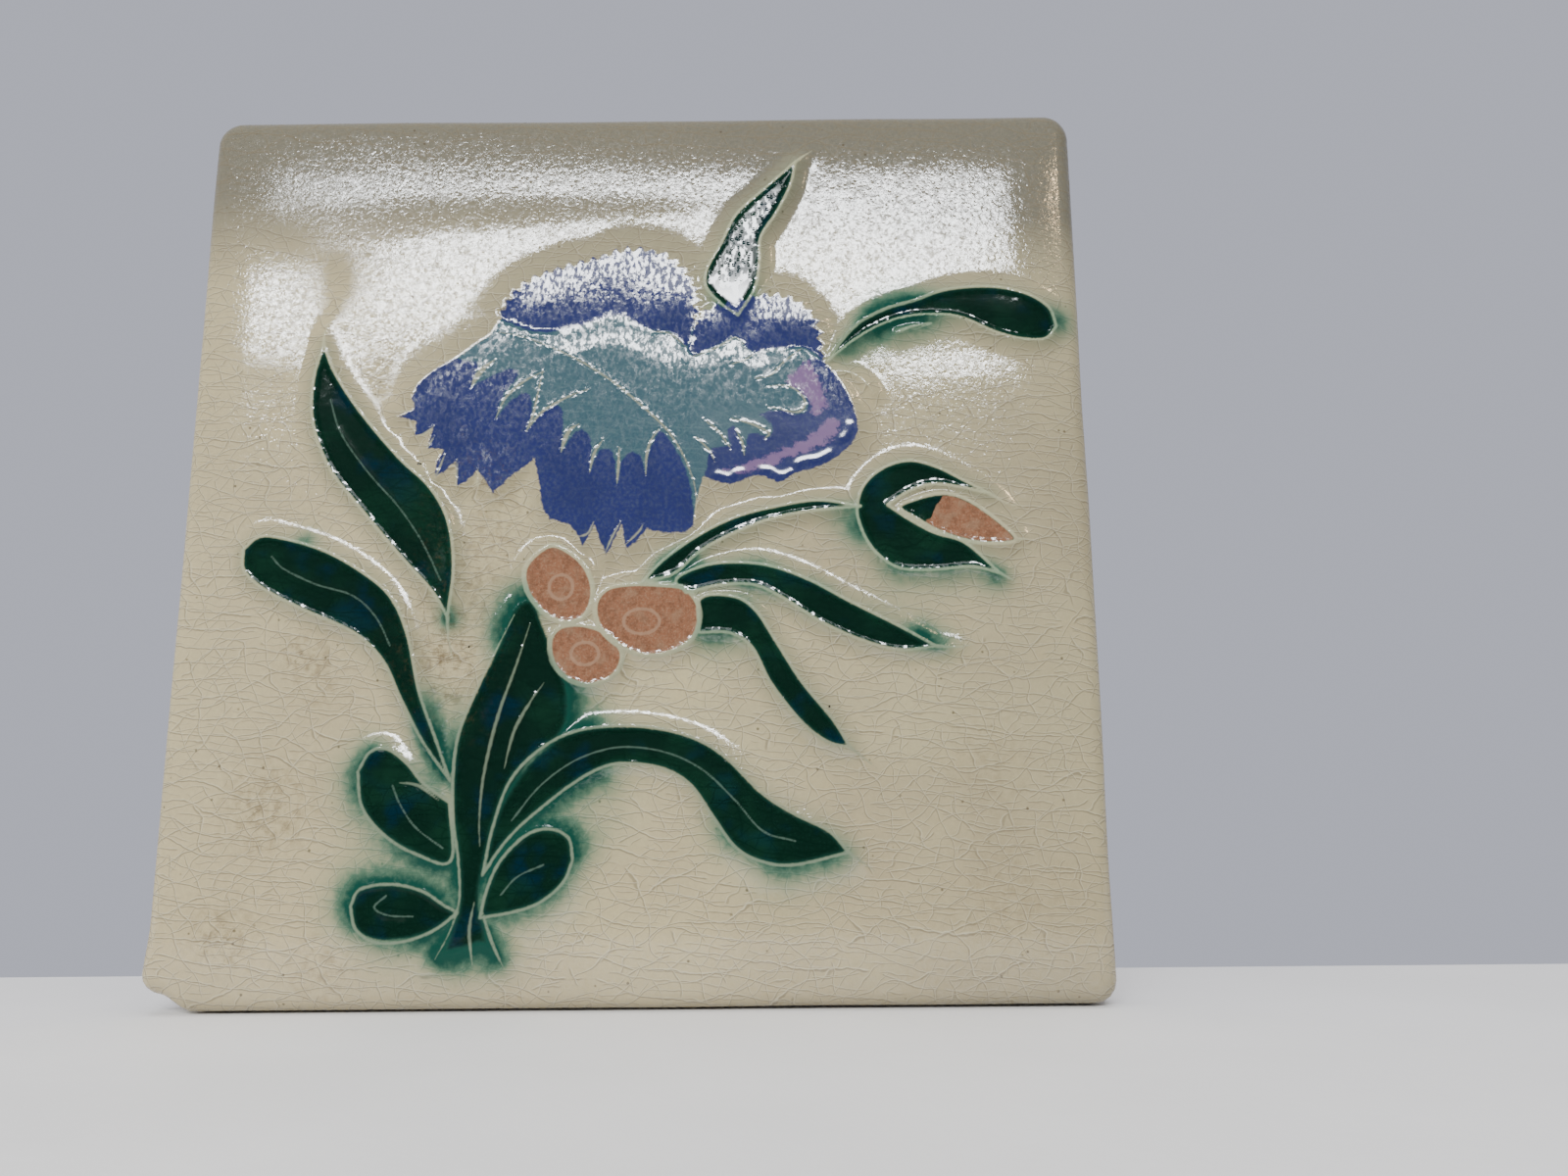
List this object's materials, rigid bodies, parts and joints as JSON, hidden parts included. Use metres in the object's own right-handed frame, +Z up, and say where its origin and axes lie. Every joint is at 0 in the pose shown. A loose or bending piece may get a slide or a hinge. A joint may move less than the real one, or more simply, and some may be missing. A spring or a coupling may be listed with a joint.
{
  "type": "decorative relief tile",
  "caption": "Square glazed ceramic wall tile with rolled edges and a stylised flower, bud, berries and leaves in low relief.",
  "frame": {"origin": "centre of the flat back face, where the tile meets its wall", "axes": "+Z up as the tile hangs, +X to the right seen from the front, the decorated face looks along -Y"},
  "size_m": [0.1531, 0.011, 0.1524],
  "materials": {
    "glaze": "glossy crackled cream glaze with green, blue, teal and pink glazes in the relief"
  },
  "bodies": {
    "root": {"tile": "glaze"}
  },
  "joints": []
}
